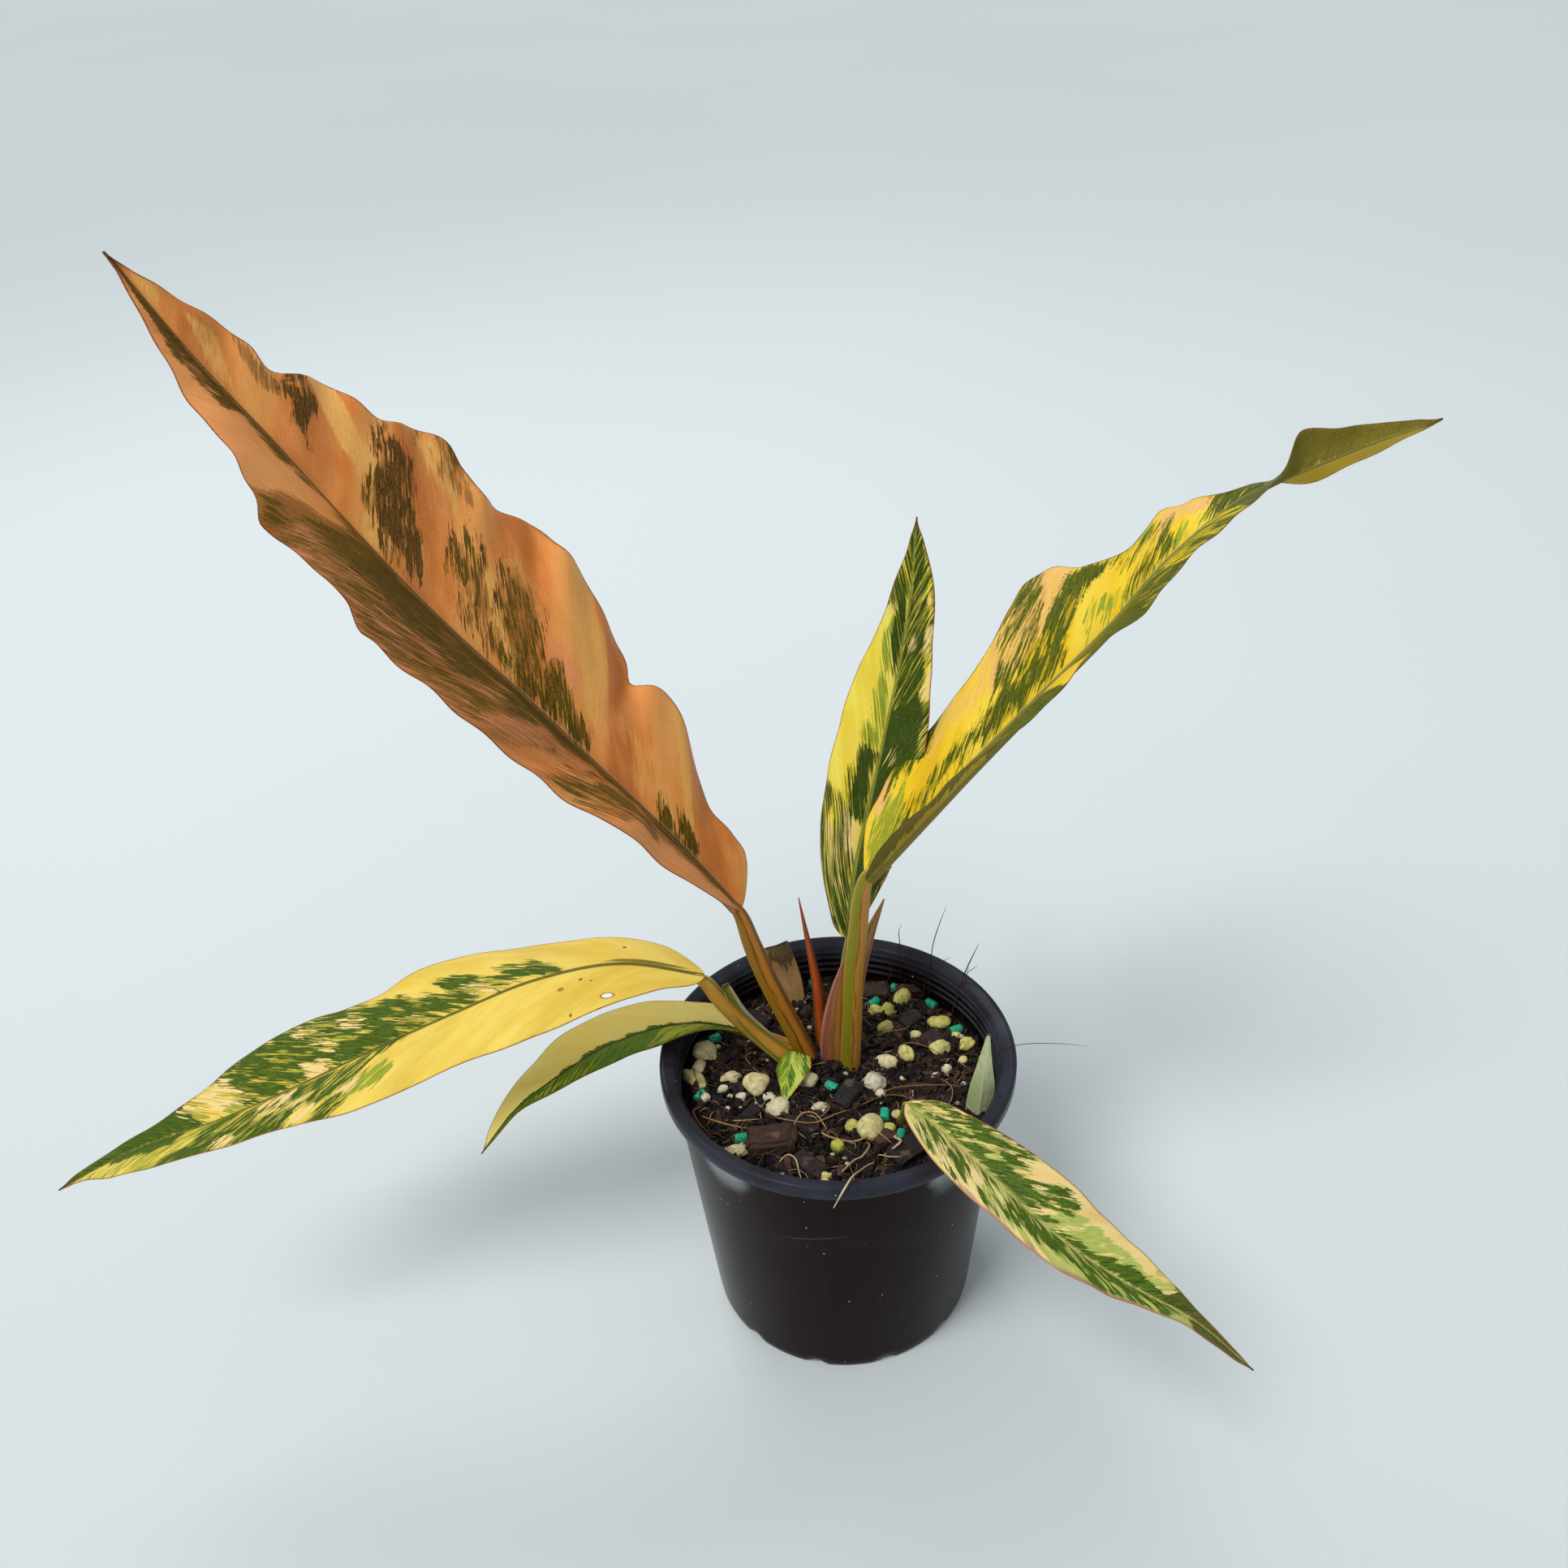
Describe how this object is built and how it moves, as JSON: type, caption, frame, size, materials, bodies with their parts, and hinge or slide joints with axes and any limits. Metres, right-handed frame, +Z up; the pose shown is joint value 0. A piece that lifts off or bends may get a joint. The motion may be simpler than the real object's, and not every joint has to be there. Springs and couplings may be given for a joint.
{
  "type": "potted caramel marble philodendron",
  "caption": "Variegated philodendron with long waved lance leaves on stalks from one crown, in a filled round nursery pot with a drained foot.",
  "frame": {"origin": "centre of the pot's flat underside, on the surface that it stands on", "axes": "+Z up the pot's axis, +X towards the side where the second leaf reaches, -Y the front, where the sixth leaf hangs over the rim"},
  "size_m": [0.4615, 0.1917, 0.3972],
  "materials": {
    "pot": "satin black moulded plastic with faint dust",
    "soil": "damp bark and peat mix with pumice, charcoal and feed pellets",
    "stem": "smooth fleshy stem",
    "stalk_brown": "smooth caramel stalk with olive stripes",
    "stalk_green": "smooth olive stalk with caramel stripes",
    "leaf_caramel": "satin leaf, caramel marbled with dark green",
    "leaf_yellow": "satin leaf, yellow marbled with green and peach",
    "leaf_green": "satin leaf, half green and half yellow",
    "leaf_marbled": "satin leaf, cream finely marbled with green",
    "sheath": "soft pink and tan sheath",
    "spike": "rust red pointed sheath",
    "dry": "dry papery tan"
  },
  "bodies": {
    "root": {"pot": "pot", "soil": "soil", "stem_crown": "stem", "petiole_1": "stalk_brown", "petiole_2": "stalk_green", "petiole_3": "stalk_green", "petiole_4": "stalk_brown", "petiole_5": "stalk_brown", "petiole_6": "stalk_green", "leaf_1": "leaf_caramel", "leaf_2": "leaf_yellow", "leaf_3": "leaf_green", "leaf_4": "leaf_yellow", "leaf_5": "leaf_green", "leaf_6": "leaf_marbled", "leaf_7_small": "leaf_marbled", "leaf_8_small": "leaf_marbled", "sheath_pink": "sheath", "spike_cataphyll": "spike", "cataphyll_narrow": "sheath", "sheath_dry": "dry", "root_over_rim": "dry"}
  },
  "joints": []
}
